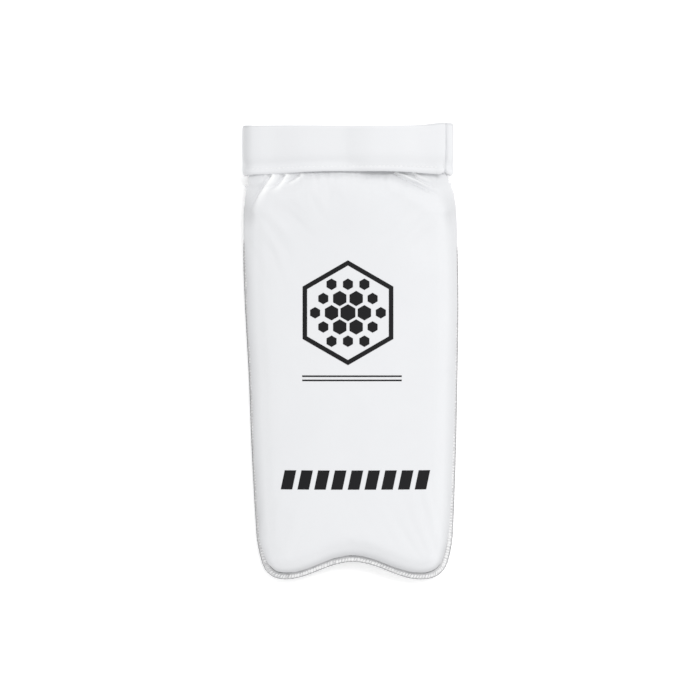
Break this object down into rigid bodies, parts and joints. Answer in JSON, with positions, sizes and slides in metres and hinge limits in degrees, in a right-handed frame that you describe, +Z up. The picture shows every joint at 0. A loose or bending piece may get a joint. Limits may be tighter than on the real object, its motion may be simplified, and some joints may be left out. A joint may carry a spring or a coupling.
{
  "type": "cricket forearm guard",
  "caption": "Padded forearm shell with a bow-shaped wrist edge and a stitched tape rim, its elbow end gathered under a wide strap that wraps round it and overlaps itself.",
  "frame": {"origin": "centre of the guard's box in plan, on the surface that it lies on", "axes": "+Y from the wrist edge to the elbow strap, +Z up out of the padded front, +X to the right of the front with the elbow end up, the side where the strap's free end lies"},
  "size_m": [0.1246, 0.2632, 0.0298],
  "materials": {
    "cover": "matt white coated cloth, padded",
    "binding": "white folded tape with grey and white stitches",
    "strap": "matt white coated cloth strap, hemmed",
    "closure": "white hook-and-loop tape"
  },
  "bodies": {
    "root": {"guard_pad": "cover", "edge_binding": "binding", "elbow_strap": "strap", "closure_patch": "closure"}
  },
  "joints": []
}
